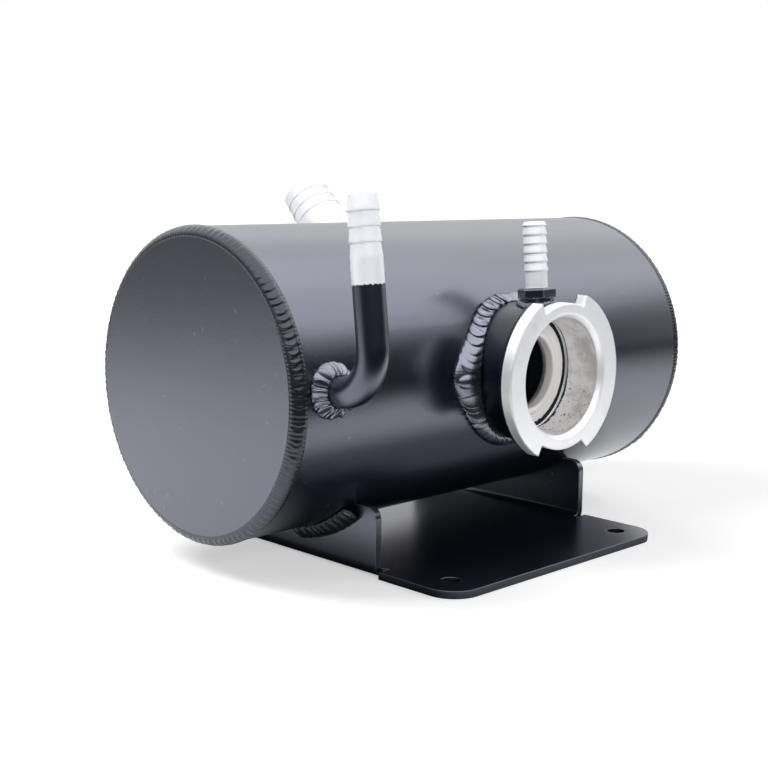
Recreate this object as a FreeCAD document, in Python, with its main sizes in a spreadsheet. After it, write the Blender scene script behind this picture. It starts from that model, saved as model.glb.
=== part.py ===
import FreeCAD, Part
import math
import os
import Sketcher

# Coolant expansion tank: a welded aluminium cylinder lying on a folded sheet bracket.
# Millimetres, +Z up, +X along the tank. The neck faces -Y.
# The origin is the middle of the bracket's four bolt holes, on the plate's underside.

Vector = FreeCAD.Vector
Rotation = FreeCAD.Rotation
Placement = FreeCAD.Placement

# Each driving size: name, value, what it is
SIZES = [
    ("tube_od", 100, "outside diameter of the tank tube"),
    ("tube_wall", 3, "wall of the tank tube"),
    ("tank_length", 198, "length over the two end plates"),
    ("tank_offset", 5, "middle of the tank from the middle of the bracket"),
    ("tube_rise", 10.6, "underside of the tube above the plate's underside"),
    ("plate_thick", 4, "thickness of an end plate"),
    ("corner_depth", 3, "end plate's face beyond the tube's end"),
    ("corner_leg", 5.2, "corner bead's width along the tank"),
    ("corner_cover", 3.8, "corner bead's reach in from the tube's outside"),
    ("corner_round", 3.53, "radius of the corner bead's outside"),
    ("neck_height", 20, "neck mouth beyond the tube"),
    ("neck_rise", 1.6, "neck's axis above the tube's axis"),
    ("neck_od", 46, "outside diameter of the neck"),
    ("neck_bore_d", 38.8, "bore of the neck above its seat"),
    ("mouth_d", 41.4, "neck bore at the mouth, after its lead-in"),
    ("mouth_lead", 1.6, "depth of the lead-in at the mouth"),
    ("seat_depth", 15.5, "seat below the mouth"),
    ("seat_hole_d", 25, "hole through the seat"),
    ("seat_thick", 3, "thickness of the seat"),
    ("seat_land_d", 29.6, "outside diameter of the raised land on the seat"),
    ("seat_land_rise", 0.5, "height of the land"),
    ("undercut_d", 40.2, "undercut at the foot of the bore"),
    ("undercut_rise", 1.3, "height of the undercut"),
    ("passage_d", 34, "passage below the seat and hole in the tube"),
    ("rim_d", 48.2, "mouth ring across its notches"),
    ("ear_d", 55.8, "mouth ring across its cap ears"),
    ("ear_thick", 5, "thickness of the ears"),
    ("ear_relief", 0.9, "relief behind an ear where the cap starts"),
    ("ear_relief_arc", 17, "degrees that the relief runs"),
    ("notch_top_start", 69, "top notch, where it starts"),
    ("notch_top_end", 118, "top notch, where it ends"),
    ("notch_low_start", 242, "bottom notch, where it starts"),
    ("notch_low_end", 291, "bottom notch, where it ends"),
    ("notch_slope", 6, "degrees that a notch's sloped flank takes"),
    ("neck_weld_side", 9.6, "neck bead's leg along the tube"),
    ("neck_weld_top", 2.4, "neck bead's leg round the tube"),
    ("neck_weld_rise", 3.8, "neck bead's leg up the neck"),
    ("neck_weld_round", 2.2, "radius of the neck bead's outside"),
    ("spout_out", 7.1, "overflow spout's axis beyond the tube, at the boss top"),
    ("spout_lean", 4.8, "degrees that the spout leans to the tank"),
    ("boss_d", 11, "outside diameter of the spout's boss"),
    ("boss_rise", 2, "boss above the neck"),
    ("spout_hole_d", 4.4, "bore of the spout and hole in the neck"),
    ("shank_d", 7.4, "shank of the spout in its boss"),
    ("shank_depth", 1.6, "depth of the shank"),
    ("hex_flats", 11, "spout's hexagon across its flats"),
    ("hex_rise", 3.3, "height of the hexagon"),
    ("hex_bevel", 0.6, "bevel on the hexagon's top"),
    ("spout_stem_d", 7.4, "plain stem of the spout"),
    ("spout_ridge_d", 8, "ridges of the spout"),
    ("spout_root_d", 7, "spout between its ridges"),
    ("spout_tip_d", 6.6, "tip of the spout"),
    ("spout_lead", 1.5, "length of the first ridge"),
    ("spout_pitch", 2.95, "pitch of the other ridges"),
    ("spout_length", 25, "spout above its boss"),
    ("ridge_land", 0.4, "flat land on the crest of each ridge"),
    ("boss_weld_leg", 1.4, "leg of the boss's bead"),
    ("bleed_from_end", 14, "bleed pipe from the left end"),
    ("bleed_rise", 3.5, "bleed pipe above the tube axis, where it leaves"),
    ("bleed_od", 9.5, "outside diameter of the bleed pipe"),
    ("bleed_bore", 6.5, "bore of the bleed pipe"),
    ("bleed_straight", 3.75, "straight stretch outside the tube"),
    ("bleed_bend_r", 13.1, "centre line radius of the bend"),
    ("bleed_lean", 6.6, "degrees that the pipe leans back past upright"),
    ("bleed_upright", 42.8, "straight length after the bend"),
    ("bleed_root_d", 8.7, "bleed tail between its ridges"),
    ("bleed_tip_d", 8, "tip of the bleed tail"),
    ("bleed_lead", 4.7, "length of the bleed tail's first ridge"),
    ("bleed_pitch", 4.4, "pitch of its other ridges"),
    ("bleed_weld_leg", 3.75, "leg of the bleed pipe's bead"),
    ("tail_angle", 45, "return tail above the horizontal, behind the tank"),
    ("tail_stem_d", 19.8, "stem of the return tail, in its hole and its bead"),
    ("tail_od", 19, "outside diameter of the return tail above its bead"),
    ("tail_bore", 14, "bore of the return tail"),
    ("tail_length", 33.7, "return tail beyond the tube"),
    ("tail_tip_d", 16.4, "end of the return tail"),
    ("tail_pitch", 4.3, "pitch of the return tail's ridges"),
    ("tail_growth", 0.3, "how much each ridge's radius grows from the tip"),
    ("tail_step", 0.45, "depth of a ridge's step"),
    ("tail_weld_leg", 4.5, "leg of the return tail's bead"),
    ("sheet", 2.5, "bracket sheet"),
    ("bracket_width", 108, "bracket over its flanges"),
    ("plate_depth", 152.4, "base plate from front to rear"),
    ("flange_depth", 84.4, "flange from front to rear"),
    ("flange_height", 22.8, "flange above the plate's underside"),
    ("bend_r", 1.5, "inside radius of the folds"),
    ("corner_r", 10, "corners of the base plate"),
    ("flange_corner_r", 4, "upper corners of the flanges"),
    ("relief_width", 1.4, "slit at each end of a fold"),
    ("relief_reach", 5, "length of that slit"),
    ("hole_d", 6.4, "bolt holes"),
    ("hole_spacing_x", 86.6, "bolt holes along the tank"),
    ("hole_spacing_y", 130, "bolt holes across the tank"),
    ("bracket_weld_leg", 4.7, "leg of a bracket bead"),
    ("bracket_weld_start", 51, "bracket bead's first degree below the horizontal"),
    ("bracket_weld_arc", 31, "degrees that a bracket bead runs"),
    ("neck_foot", 25, "foot of the neck's blank from the tube axis, before it is cut to the tube"),
    ("neck_tuck", 0.5, "how far the ears start inside the neck's outside"),
    ("relief_overrun", 1, "degrees that an ear's relief runs past its end"),
    ("bead_round", 0.8, "radius of a small bead's outside as a share of its leg"),
    ("flank_round", 1.05, "radius of a bracket bead's face as a share of its leg"),
    ("tool_reach", 10, "how far a cut runs past what it cuts"),
    ("tool_clear", 1, "side clearance of a cut"),
]

SPOUT_RIDGES = 6
BLEED_RIDGES = 4
TAIL_RIDGES = 4
NEAR = 0.01

doc = FreeCAD.newDocument("ExpansionTank")
sheet = doc.addObject("Spreadsheet::Sheet", "Sizes")
for row, (alias, value, note) in enumerate(SIZES, start=1):
    sheet.set("A%d" % row, alias)
    sheet.set("B%d" % row, str(value))
    sheet.setAlias("B%d" % row, alias)
    sheet.set("C%d" % row, note)
doc.recompute()

TUBE_R = "Sizes.tube_od / 2"
AXIS_HEIGHT = "(Sizes.tube_od / 2 + Sizes.tube_rise)"
NECK_HEIGHT = "(%s + Sizes.neck_rise)" % AXIS_HEIGHT
NECK_REACH = "(Sizes.tube_od / 2 + Sizes.neck_height)"
SPOUT_REACH = "(Sizes.tube_od / 2 + Sizes.spout_out)"
TAIL_REACH = "(Sizes.tube_od / 2 + Sizes.tail_length)"
TANK_LEFT = "Sizes.tank_offset - Sizes.tank_length / 2"
TANK_RIGHT = "Sizes.tank_offset + Sizes.tank_length / 2"
BLEED_X = TANK_LEFT + " + Sizes.bleed_from_end"
DRILL = "Sizes.tube_od / 2 + Sizes.tool_reach"
SPOUT_FOOT = "(%s + (Sizes.neck_od / 2 + Sizes.boss_rise) * tan(Sizes.spout_lean))" % SPOUT_REACH


def value_of(expression):
    """The number that an expression on the sheet stands for."""
    result = sheet.evalExpression(str(expression))
    return float(getattr(result, "Value", result))


def bind(item, **rules):
    """Bind properties to the sheet; a double underscore stands for a dot."""
    for name, rule in rules.items():
        item.setExpression(name.replace("__", "."), str(rule))
    return item


def place(item, x="0", y="0", z="0", axis=None, angle="0"):
    """Place an item by three expressions, turned by an angle about an axis."""
    turn = Rotation(axis or Vector(0, 0, 1), value_of(angle))
    item.Placement = Placement(Vector(value_of(x), value_of(y), value_of(z)), turn)
    bind(item, Placement__Base__x=x, Placement__Base__y=y, Placement__Base__z=z)
    if axis is not None:
        bind(item, Placement__Rotation__Angle=angle)
    return item


def new_body(label):
    """A part design body with its node's label."""
    body = doc.addObject("PartDesign::Body", label)
    body.Label = label
    return body


def origin_plane(body, role):
    """One of the body's own origin planes."""
    return next(item for item in body.Origin.OriginFeatures if item.Role == role)


def new_sketch(body, name, role="XZ_Plane"):
    """A sketch on one of the body's origin planes."""
    sketch = body.newObject("Sketcher::SketchObject", name)
    sketch.AttachmentSupport = [(origin_plane(body, role), "")]
    sketch.MapMode = "FlatFace"
    doc.recompute()
    return sketch


def arc_between(start, end, radius, clockwise):
    """A circular arc from start to end, bulging to the left or to the right."""
    chord = end - start
    middle = (start + end) * 0.5
    reach = math.sqrt(max(radius ** 2 - (chord.Length / 2) ** 2, 0.0))
    left = Vector(-chord.y, chord.x, 0).normalize()
    centre = middle - left * reach if clockwise else middle + left * reach
    first, last = (end, start) if clockwise else (start, end)
    angles = [math.atan2(p.y - centre.y, p.x - centre.x) for p in (first, last)]
    return Part.ArcOfCircle(Part.Circle(centre, Vector(0, 0, 1), radius), *angles)


def outline(sketch, corners, arcs=None, closed=True):
    """Draw an outline through corners given as expressions.

    arcs maps the number of a corner to the radius and the sense of the arc that leaves it.
    """
    arcs = arcs or {}
    points = [Vector(value_of(x), value_of(y), 0) for x, y in corners]
    starts, ends = [], []
    for number, start in enumerate(points if closed else points[:-1]):
        end = points[(number + 1) % len(points)]
        if number in arcs:
            radius, clockwise = arcs[number]
            edge = sketch.addGeometry(arc_between(start, end, value_of(radius), clockwise), False)
            starts.append((edge, 2 if clockwise else 1))
            ends.append((edge, 1 if clockwise else 2))
        else:
            edge = sketch.addGeometry(Part.LineSegment(start, end), False)
            starts.append((edge, 1))
            ends.append((edge, 2))
    for number, (x, y) in enumerate(corners):
        edge, spot = starts[number] if number < len(starts) else ends[-1]
        if number < len(starts) and (closed or number):
            sketch.addConstraint(Sketcher.Constraint("Coincident", *ends[number - 1], edge, spot))
        for kind, rule, seed in (("DistanceX", x, points[number].x), ("DistanceY", y, points[number].y)):
            index = sketch.addConstraint(Sketcher.Constraint(kind, edge, spot, seed))
            sketch.setExpression("Constraints[%d]" % index, str(rule))
    for number, (radius, _) in arcs.items():
        edge = starts[number][0]
        index = sketch.addConstraint(Sketcher.Constraint("Radius", edge, value_of(radius)))
        sketch.setExpression("Constraints[%d]" % index, str(radius))
    return sketch


def circle(sketch, x, y, diameter):
    """Draw a circle given by expressions."""
    centre = Vector(value_of(x), value_of(y), 0)
    ring = Part.Circle(centre, Vector(0, 0, 1), value_of(diameter) / 2)
    edge = sketch.addGeometry(ring, False)
    for kind, rule, seed in (("DistanceX", x, centre.x), ("DistanceY", y, centre.y)):
        index = sketch.addConstraint(Sketcher.Constraint(kind, edge, 3, seed))
        sketch.setExpression("Constraints[%d]" % index, str(rule))
    index = sketch.addConstraint(Sketcher.Constraint("Diameter", edge, value_of(diameter)))
    sketch.setExpression("Constraints[%d]" % index, str(diameter))
    return sketch


def pad(body, sketch, length, both_ways=False, backwards=False):
    """Pad a sketch by an expression."""
    feature = body.newObject("PartDesign::Pad", "Pad_" + sketch.Name)
    feature.Profile = sketch
    feature.Length = value_of(length)
    feature.Midplane = both_ways
    feature.Reversed = backwards
    return bind(feature, Length=length)


def turn(body, sketch, kind="PartDesign::Revolution", angle="360", axis="V_Axis", backwards=False):
    """Turn a sketch about one of its own axes."""
    feature = body.newObject(kind, "Turn_" + sketch.Name)
    feature.Profile = sketch
    feature.ReferenceAxis = (sketch, [axis])
    feature.Reversed = backwards
    feature.Angle = value_of(angle)
    return bind(feature, Angle=angle)


def cut_cylinder(body, name, diameter, length, x="0", y="0", z="0", axis=None, angle="0"):
    """Take a cylinder away from a body."""
    tool = body.newObject("PartDesign::SubtractiveCylinder", name)
    tool.Radius = value_of(diameter) / 2
    tool.Height = value_of(length)
    bind(tool, Radius="(%s) / 2" % diameter, Height=length)
    return place(tool, x, y, z, axis, angle)


def rod(name, diameter, length, x="0", y="0", z="0", axis=None, angle="0"):
    """A plain cylinder bound to the sheet."""
    item = doc.addObject("Part::Cylinder", name)
    bind(item, Radius="(%s) / 2" % diameter, Height=length)
    return place(item, x, y, z, axis, angle)


def boolean(kind, name, base, tool):
    """Part::Cut or Part::Common of two objects."""
    item = doc.addObject(kind, name)
    item.Base = base
    item.Tool = tool
    return item


def tank_tube():
    """The tube with its holes for the neck, the bleed pipe and the return tail."""
    length = "Sizes.tank_length - 2 * Sizes.corner_depth"
    start = TANK_LEFT + " + Sizes.corner_depth"
    along = dict(y="0", z=AXIS_HEIGHT, axis=Vector(0, 1, 0), angle="90")
    outside = rod("tube_outside", "Sizes.tube_od", length, x=start, **along)
    inside = rod("tube_inside", "Sizes.tube_od - 2 * Sizes.tube_wall", length, x=start, **along)
    neck_hole = rod("neck_hole", "Sizes.passage_d", DRILL, x="Sizes.tank_offset",
                    z=NECK_HEIGHT, axis=Vector(1, 0, 0), angle="90")
    bleed_hole = rod("bleed_hole", "Sizes.bleed_od", DRILL, x=BLEED_X,
                     z=AXIS_HEIGHT + " + Sizes.bleed_rise", axis=Vector(1, 0, 0), angle="90")
    tail_hole = rod("tail_hole", "Sizes.tail_stem_d", DRILL, x="Sizes.tank_offset",
                    z=AXIS_HEIGHT, axis=Vector(1, 0, 0), angle="Sizes.tail_angle - 90")
    shell = boolean("Part::Cut", "tube_shell", outside, inside)
    holes = doc.addObject("Part::MultiFuse", "tube_holes")
    holes.Shapes = [neck_hole, bleed_hole, tail_hole]
    tube = boolean("Part::Cut", "tank_tube", shell, holes)
    return tube


def end_plate(label, start):
    """A flat disc let into the tube's bore, standing out of it by the corner depth."""
    return rod(label, "Sizes.tube_od - 2 * Sizes.tube_wall", "Sizes.plate_thick",
               x=start, z=AXIS_HEIGHT, axis=Vector(0, 1, 0), angle="90")


def end_weld(label, at_right):
    """The bead round a corner of the tank; its local Z runs along the tube, outwards."""
    body = new_body(label)
    plate_r = "Sizes.tube_od / 2 - Sizes.tube_wall"
    profile = new_sketch(body, label + "_profile")
    outline(profile, [
        ("Sizes.tube_od / 2 - Sizes.corner_cover", "0"),
        (plate_r, "0"),
        (plate_r, "-Sizes.corner_depth"),
        (TUBE_R, "-Sizes.corner_depth"),
        (TUBE_R, "-Sizes.corner_leg"),
    ], {4: ("Sizes.corner_round", False)})
    turn(body, profile)
    if at_right:
        return place(body, x=TANK_RIGHT, z=AXIS_HEIGHT, axis=Vector(0, 1, 0), angle="90")
    return place(body, x=TANK_LEFT, z=AXIS_HEIGHT, axis=Vector(0, 1, 0), angle="-90")


def ear_outline(body, name, start, end, outer, inner, slope_first=False):
    """A ring segment between two directions, with one flank sloped."""
    sketch = new_sketch(body, name, "XY_Plane")
    first = "(%s)%s" % (start, " + Sizes.notch_slope" if slope_first else "")
    spots = [(outer, first), (outer, end), (inner, end), (inner, start)]
    corners = [("%s * cos(%s)" % (reach, way), "%s * sin(%s)" % (reach, way)) for reach, way in spots]
    return outline(sketch, corners, {0: (outer, False), 2: (inner, True)})


def lift(sketch, height):
    """Move a sketch up along its body's Z."""
    sketch.AttachmentOffset = Placement(Vector(0, 0, value_of(height)), Rotation())
    return bind(sketch, AttachmentOffset__Base__z=height)


def filler_neck():
    """The machined neck; local Z is its axis, from the tube axis to the mouth."""
    body = new_body("filler_neck")
    seat = NECK_REACH + " - Sizes.seat_depth"
    flange = NECK_REACH + " - Sizes.ear_thick"
    foot = "Sizes.neck_foot"
    profile = new_sketch(body, "neck_profile")
    outline(profile, [
        ("Sizes.passage_d / 2", foot),
        ("Sizes.neck_od / 2", foot),
        ("Sizes.neck_od / 2", flange),
        ("Sizes.rim_d / 2", flange),
        ("Sizes.rim_d / 2", NECK_REACH),
        ("Sizes.mouth_d / 2", NECK_REACH),
        ("Sizes.neck_bore_d / 2", NECK_REACH + " - Sizes.mouth_lead"),
        ("Sizes.neck_bore_d / 2", seat + " + Sizes.undercut_rise"),
        ("Sizes.undercut_d / 2", seat + " + Sizes.undercut_rise"),
        ("Sizes.undercut_d / 2", seat),
        ("Sizes.seat_land_d / 2", seat),
        ("Sizes.seat_land_d / 2 - Sizes.seat_land_rise", seat + " + Sizes.seat_land_rise"),
        ("Sizes.seat_hole_d / 2", seat + " + Sizes.seat_land_rise"),
        ("Sizes.seat_hole_d / 2", seat + " - Sizes.seat_thick"),
        ("Sizes.passage_d / 2", seat + " - Sizes.seat_thick"),
    ])
    turn(body, profile)
    inner = "(Sizes.neck_od / 2 - Sizes.neck_tuck)"
    outer = "(Sizes.ear_d / 2)"
    left = ear_outline(body, "ear_left", "Sizes.notch_top_end", "Sizes.notch_low_start", outer, inner)
    right = ear_outline(body, "ear_right", "Sizes.notch_low_end - 360", "Sizes.notch_top_start",
                        outer, inner, slope_first=True)
    for ear in (left, right):
        lift(ear, flange)
        pad(body, ear, "Sizes.ear_thick")
    doc.recompute()
    for name, end in (("relief_left", "Sizes.notch_low_start"), ("relief_right", "Sizes.notch_top_start")):
        sector = ear_outline(body, name, end + " - Sizes.ear_relief_arc", end + " + Sizes.relief_overrun",
                             "(Sizes.ear_d / 2 + Sizes.tool_clear)", "(Sizes.rim_d / 2)")
        lift(sector, flange)
        pocket = body.newObject("PartDesign::Pocket", "Pocket_" + name)
        pocket.Profile = sector
        pocket.Reversed = True
        pocket.Length = value_of("Sizes.ear_relief")
        bind(pocket, Length="Sizes.ear_relief")
    cut_cylinder(body, "neck_saddle", "Sizes.tube_od", "2 * Sizes.neck_od", x="-Sizes.neck_od",
                 y="-Sizes.neck_rise", axis=Vector(0, 1, 0), angle="90")
    cut_cylinder(body, "neck_port", "Sizes.spout_hole_d", "Sizes.neck_od", z=SPOUT_FOOT,
                 axis=Vector(1, 0, 0), angle="-90 - Sizes.spout_lean")
    return place(body, x="Sizes.tank_offset", z=NECK_HEIGHT, axis=Vector(1, 0, 0), angle="90")


def off_axis(item, spot):
    """Distance of a point from the axis of a placed cylinder."""
    along = item.Placement.Rotation.multVec(Vector(0, 0, 1))
    return spot.distanceToLine(item.Placement.Base, along)


def saddle_bead(label, pipe_d, legs, rise, rounding, pipe, hull_d, hull):
    """A rounded bead where a pipe stands on a cylinder.

    legs are its widths along and round the cylinder. pipe and hull place the two axes.
    """
    wide, narrow = legs
    reach = "(%s) / 2 + %s" % (hull_d, rise)
    lobe = doc.addObject("Part::Ellipse", label + "_foot")
    bind(lobe, MajorRadius="%s / 2 + %s" % (pipe_d, wide), MinorRadius="%s / 2 + %s" % (pipe_d, narrow))
    place(lobe, **pipe)
    column = doc.addObject("Part::Extrusion", label + "_column")
    column.Base = lobe
    column.DirMode = "Custom"
    column.Dir = lobe.Placement.Rotation.multVec(Vector(0, 0, 1))
    column.Solid = True
    bind(column, LengthFwd=reach + " + Sizes.tool_reach",
         Dir__y="-sin(%s)" % pipe["angle"], Dir__z="cos(%s)" % pipe["angle"])
    skin = rod(label + "_skin", "2 * (%s)" % reach, "Sizes.tank_length", **hull)
    base = rod(label + "_base", hull_d, "Sizes.tank_length", **hull)
    core = rod(label + "_core", pipe_d, reach + " + 2 * Sizes.tool_reach", **pipe)
    blank = boolean("Part::Common", label + "_blank", column, skin)
    ring = boolean("Part::Cut", label + "_ring", blank, base)
    bead = boolean("Part::Cut", label + "_bead", ring, core)
    doc.recompute()
    edges = []
    for number, edge in enumerate(bead.Shape.Edges, start=1):
        spot = edge.valueAt((edge.FirstParameter + edge.LastParameter) / 2)
        on_skin = abs(off_axis(skin, spot) - value_of(reach)) < NEAR
        if on_skin and off_axis(core, spot) > value_of("%s / 2" % pipe_d) + NEAR:
            edges.append((number, value_of(rounding), value_of(rounding)))
    fillet = doc.addObject("Part::Fillet", label)
    fillet.Base = bead
    fillet.Edges = edges
    return fillet


TUBE_LINE = dict(x=TANK_LEFT, z=AXIS_HEIGHT, axis=Vector(0, 1, 0), angle="90")
NECK_LINE = dict(x="Sizes.tank_offset", z=NECK_HEIGHT, axis=Vector(1, 0, 0), angle="90")


def neck_weld():
    """The heavy bead round the foot of the neck."""
    return saddle_bead("neck_weld", "Sizes.neck_od", ("Sizes.neck_weld_side", "Sizes.neck_weld_top"),
                       "Sizes.neck_weld_rise", "Sizes.neck_weld_round", NECK_LINE,
                       "Sizes.tube_od", TUBE_LINE)


def spout_frame(item):
    """Stand an item on the boss: local Z is the spout's axis, from the boss top."""
    top = NECK_HEIGHT + " + Sizes.neck_od / 2 + Sizes.boss_rise"
    return place(item, x="Sizes.tank_offset", y="-" + SPOUT_REACH, z=top,
                 axis=Vector(1, 0, 0), angle="-Sizes.spout_lean")


def overflow_boss():
    """A short boss on top of the neck, bored for the spout's shank."""
    body = new_body("boss_turned")
    profile = new_sketch(body, "boss_profile")
    depth = "-(Sizes.boss_rise + Sizes.boss_d / 2)"
    outline(profile, [
        ("Sizes.spout_hole_d / 2", depth),
        ("Sizes.boss_d / 2", depth),
        ("Sizes.boss_d / 2", "0"),
        ("Sizes.shank_d / 2", "0"),
        ("Sizes.shank_d / 2", "-Sizes.shank_depth"),
        ("Sizes.spout_hole_d / 2", "-Sizes.shank_depth"),
    ])
    turn(body, profile)
    spout_frame(body)
    neck = rod("boss_saddle", "Sizes.neck_od", NECK_REACH, **NECK_LINE)
    return boolean("Part::Cut", "overflow_boss", body, neck)


def overflow_boss_weld():
    """The bead round the boss's foot, on the neck."""
    leg = "Sizes.boss_weld_leg"
    line = dict(x="Sizes.tank_offset", y="-" + SPOUT_FOOT, z=NECK_HEIGHT,
                axis=Vector(1, 0, 0), angle="-Sizes.spout_lean")
    return saddle_bead("overflow_boss_weld", "Sizes.boss_d", (leg, leg), leg, leg + " * Sizes.bead_round",
                       line, "Sizes.neck_od", NECK_LINE)


def ridges(first, count, tip, root, crest, lead, pitch, end):
    """Corners of a saw-tooth hose tail from its tip at height end, downwards."""
    corners = [(tip, end)]
    for number in range(count):
        foot = "%s - %s - %d * %s" % (end, lead, number, pitch)
        corners += [(crest, foot + " + Sizes.ridge_land"), (crest, foot), (root, foot)]
    corners[-1] = (first, corners[-1][1])
    return corners


def overflow_barb():
    """The overflow spout: shank, hexagon, stem and six ridges."""
    body = new_body("overflow_barb")
    nut = new_sketch(body, "hexagon", "XY_Plane")
    corner = "(Sizes.hex_flats / 2 / cos(30))"
    outline(nut, [("%s * cos(%d)" % (corner, way), "%s * sin(%d)" % (corner, way))
                  for way in range(0, 360, 60)])
    circle(nut, "0", "0", "Sizes.spout_hole_d")
    block = pad(body, nut, "Sizes.hex_rise")
    doc.recompute()
    upper = []
    for number, edge in enumerate(block.Shape.Edges, start=1):
        straight = edge.Curve.TypeId == "Part::GeomLine"
        if straight and edge.BoundBox.ZMin > value_of("Sizes.hex_rise") - NEAR:
            upper.append("Edge%d" % number)
    bevel = body.newObject("PartDesign::Chamfer", "hexagon_bevel")
    bevel.Base = (block, upper)
    bind(bevel, Size="Sizes.hex_bevel")
    profile = new_sketch(body, "spout_profile")
    stem = "Sizes.spout_stem_d / 2"
    teeth = ridges(stem, SPOUT_RIDGES, "Sizes.spout_tip_d / 2", "Sizes.spout_root_d / 2",
                   "Sizes.spout_ridge_d / 2", "Sizes.spout_lead", "Sizes.spout_pitch", "Sizes.spout_length")
    outline(profile, [("Sizes.spout_hole_d / 2", "-Sizes.shank_depth"),
                      ("Sizes.spout_hole_d / 2", "Sizes.spout_length")] + teeth + [
        (stem, "Sizes.hex_rise / 2"),
        ("Sizes.shank_d / 2", "0"),
        ("Sizes.shank_d / 2", "-Sizes.shank_depth")])
    turn(body, profile)
    return spout_frame(body)


def bleed_elbow():
    """The bleed pipe: out of the tube, round a bend, up and slightly back, with a hose tail.

    Local Y and Z are the object's, from the tube's middle at the height where the pipe leaves.
    """
    body = new_body("bleed_elbow")
    start = "-(Sizes.tube_od / 2 - Sizes.tube_wall)"
    bend = "-(Sizes.tube_od / 2 + Sizes.bleed_straight)"
    bend_y = "(%s - Sizes.bleed_bend_r * cos(Sizes.bleed_lean))" % bend
    bend_z = "Sizes.bleed_bend_r * (1 + sin(Sizes.bleed_lean))"
    tip_y = "%s + Sizes.bleed_upright * sin(Sizes.bleed_lean)" % bend_y
    tip_z = "%s + Sizes.bleed_upright * cos(Sizes.bleed_lean)" % bend_z
    spine = new_sketch(body, "bleed_spine", "YZ_Plane")
    outline(spine, [(start, "0"), (bend, "0"), (bend_y, bend_z), (tip_y, tip_z)],
            {1: ("Sizes.bleed_bend_r", True)}, closed=False)
    for name, kind, diameter in (("outside", "PartDesign::AdditivePipe", "Sizes.bleed_od"),
                                 ("bore", "PartDesign::SubtractivePipe", "Sizes.bleed_bore")):
        section = new_sketch(body, "bleed_" + name, "XZ_Plane")
        lift(section, "-(%s)" % start)
        circle(section, "0", "0", diameter)
        doc.recompute()
        sweep = body.newObject(kind, "bleed_sweep_" + name)
        sweep.Profile = section
        sweep.Spine = (spine, ["Edge1", "Edge2", "Edge3"])
        doc.recompute()
    teeth = new_sketch(body, "bleed_teeth", "YZ_Plane")
    teeth.AttachmentOffset = Placement(Vector(value_of(tip_y), value_of(tip_z), 0),
                                       Rotation(Vector(0, 0, 1), value_of("-Sizes.bleed_lean")))
    bind(teeth, AttachmentOffset__Base__x=tip_y, AttachmentOffset__Base__y=tip_z,
         AttachmentOffset__Rotation__Angle="-Sizes.bleed_lean")
    pipe_r = "Sizes.bleed_od / 2"
    saw = ridges(pipe_r, BLEED_RIDGES, "Sizes.bleed_tip_d / 2", "Sizes.bleed_root_d / 2", pipe_r,
                 "Sizes.bleed_lead", "Sizes.bleed_pitch", "0")
    clear = "Sizes.bleed_od / 2 + Sizes.tool_clear"
    outline(teeth, saw[:-2] + [(clear, saw[-3][1]), (clear, "Sizes.tool_clear"),
                                ("Sizes.bleed_tip_d / 2", "Sizes.tool_clear")])
    turn(body, teeth, "PartDesign::Groove")
    return place(body, x=BLEED_X, z=AXIS_HEIGHT + " + Sizes.bleed_rise")


def bleed_elbow_weld():
    """The bead where the bleed pipe leaves the tube, below its bend."""
    leg = "Sizes.bleed_weld_leg"
    line = dict(x=BLEED_X, z=AXIS_HEIGHT + " + Sizes.bleed_rise", axis=Vector(1, 0, 0), angle="90")
    return saddle_bead("bleed_elbow_weld", "Sizes.bleed_od", (leg, leg), leg, leg + " * Sizes.bead_round",
                       line, "Sizes.tube_od", TUBE_LINE)


TAIL_LINE = dict(x="Sizes.tank_offset", z=AXIS_HEIGHT,
                 axis=Vector(1, 0, 0), angle="Sizes.tail_angle - 90")


def return_hose_tail():
    """The return tail; local Z is its axis, from the tube axis outwards."""
    body = new_body("return_hose_tail")
    foot = "Sizes.tube_od / 2 - Sizes.tube_wall"
    teeth = [("Sizes.tail_tip_d / 2", TAIL_REACH)]
    for number in range(TAIL_RIDGES):
        crest = "(Sizes.tail_od / 2 - %d * Sizes.tail_growth)" % (TAIL_RIDGES - 1 - number)
        ledge = TAIL_REACH + " - %d * Sizes.tail_pitch" % (number + 1)
        if number:
            teeth.append(("%s - Sizes.tail_step" % crest, teeth[-1][1]))
        teeth += [(crest, ledge + " + Sizes.ridge_land"), (crest, ledge)]
    teeth.pop()
    profile = new_sketch(body, "tail_profile")
    shoulder = "Sizes.tube_od / 2 + Sizes.tail_weld_leg"
    outline(profile, [
        ("Sizes.tail_bore / 2", foot),
        ("Sizes.tail_stem_d / 2", foot),
        ("Sizes.tail_stem_d / 2", shoulder),
        ("Sizes.tail_od / 2", shoulder),
    ] + teeth[::-1] + [("Sizes.tail_bore / 2", TAIL_REACH)])
    turn(body, profile)
    return place(body, **TAIL_LINE)


def return_tail_weld():
    """The bead where the return tail leaves the tube."""
    leg = "Sizes.tail_weld_leg"
    return saddle_bead("return_tail_weld", "Sizes.tail_stem_d", (leg, leg), leg, leg + " * Sizes.bead_round",
                       TAIL_LINE, "Sizes.tube_od", TUBE_LINE)


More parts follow.
